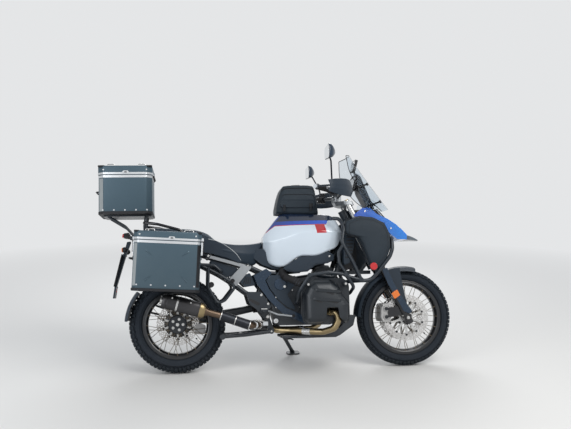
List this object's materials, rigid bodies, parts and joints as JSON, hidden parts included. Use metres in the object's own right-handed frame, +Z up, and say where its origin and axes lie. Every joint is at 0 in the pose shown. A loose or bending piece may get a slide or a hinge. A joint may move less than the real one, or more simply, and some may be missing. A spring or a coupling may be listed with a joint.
{
  "type": "adventure motorcycle",
  "caption": "Large adventure touring motorcycle with hard side cases and top case, tank bag and crash bars, leaning on its side stand.",
  "frame": {"origin": "middle of the underside of the bounding box, on the ground", "axes": "+X forward, +Y to the motorcycle's left, +Z up; the machine leans 11.5 degrees to its left"},
  "size_m": [2.3558, 1.1434, 1.5129],
  "materials": {
    "tyre_rubber": "matt rubber",
    "rim_black": "black anodised",
    "disc_steel": "ground steel",
    "fork_black": "satin black",
    "frame_black": "satin dark grey",
    "plastic_dark": "grained dark plastic",
    "tank_white": "gloss white with blue",
    "paint_blue": "gloss blue",
    "paint_grey": "gloss grey",
    "engine_dark": "satin brown-black",
    "aluminium_bare": "brushed",
    "case_grey": "satin slate grey",
    "silencer_dark": "satin dark",
    "exhaust_steel": "heat tinted",
    "seat_vinyl": "grained vinyl",
    "bag_fabric": "coated fabric",
    "screen_clear": "clear",
    "lamp_glass": "clear",
    "lamp_red": "gloss red"
  },
  "bodies": {
    "chassis": {"engine_block": "engine_dark", "cylinders": "engine_dark", "exhaust_pipes": "exhaust_steel", "silencer": "silencer_dark", "skid_plate": "frame_black", "main_frame": "frame_black", "subframe": "frame_black", "swingarm": "frame_black", "rear_mudguard": "plastic_dark", "front_suspension": "frame_black", "fuel_tank": "tank_white", "tank_bag": "bag_fabric", "rider_seat": "seat_vinyl", "passenger_seat": "seat_vinyl", "beak": "paint_blue", "beak_tip": "paint_grey", "headlamp": "lamp_glass", "windscreen": "screen_clear", "cockpit": "plastic_dark", "knee_panels": "plastic_dark", "side_covers": "plastic_dark", "foot_rests": "frame_black", "crash_bars": "frame_black", "side_bags": "bag_fabric", "radiator_cowls": "plastic_dark", "pannier_racks": "frame_black", "top_rack": "frame_black", "plate_holder": "plastic_dark", "tail_lamp": "lamp_red", "stand_bracket": "frame_black", "top_case": "case_grey", "pannier_right": "case_grey", "pannier_left": "case_grey"},
    "steering": {"fork": "fork_black", "handlebar": "fork_black", "hand_guards": "plastic_dark", "mirrors": "plastic_dark", "front_fender": "plastic_dark", "front_calipers": "aluminium_bare"},
    "front_wheel": {"front_tyre": "tyre_rubber", "front_rim": "rim_black", "front_discs": "disc_steel"},
    "rear_wheel": {"rear_tyre": "tyre_rubber", "rear_rim": "rim_black", "rear_disc": "disc_steel"},
    "side_stand": {"side_stand": "frame_black"},
    "centre_stand": {"centre_stand": "frame_black"},
    "top_lid": {"top_lid": "case_grey"},
    "pannier_lid_right": {"pannier_lid_right": "case_grey"},
    "pannier_lid_left": {"pannier_lid_left": "case_grey"}
  },
  "joints": [
    {"name": "rear_wheel_spin", "type": "hinge", "parent": "chassis", "child": "rear_wheel", "pos_m": [-0.6799, -0.16746, 0.31322], "axis": [0, 0.9799, -0.1994], "continuous": true},
    {"name": "steering_turn", "type": "hinge", "parent": "chassis", "child": "steering", "pos_m": [0.53025, -0.05175, 0.88193], "axis": [-0.4415, 0.1789, 0.8792], "range_deg": [-34, 34]},
    {"name": "front_wheel_spin", "type": "hinge", "parent": "steering", "child": "front_wheel", "pos_m": [0.8541, -0.16614, 0.31968], "axis": [0, 0.9799, -0.1994], "continuous": true},
    {"name": "side_stand_fold", "type": "hinge", "parent": "chassis", "child": "side_stand", "pos_m": [-0.0119, -0.01219, 0.27384], "axis": [-0.0579, 0.991, 0.1205], "range_deg": [0, 107]},
    {"name": "centre_stand_fold", "type": "hinge", "parent": "chassis", "child": "centre_stand", "pos_m": [-0.0679, -0.17895, 0.25674], "axis": [0, 0.9799, -0.1994], "range_deg": [-110, 0], "stiffness_Nm_per_rad": 8, "springref_deg": 34.38},
    {"name": "top_lid_open", "type": "hinge", "parent": "chassis", "child": "top_lid", "pos_m": [-0.8239, 0.0272, 1.26998], "axis": [0, 0.9799, -0.1994], "range_deg": [0, 90]},
    {"name": "pannier_lid_right_open", "type": "hinge", "parent": "chassis", "child": "pannier_lid_right", "pos_m": [-0.5125, -0.2754, 0.86109], "axis": [0, 0.9799, -0.1994], "range_deg": [0, 95]},
    {"name": "pannier_lid_left_open", "type": "hinge", "parent": "chassis", "child": "pannier_lid_left", "pos_m": [-0.5125, 0.14597, 0.77536], "axis": [0, 0.9799, -0.1994], "range_deg": [0, 95]}
  ]
}
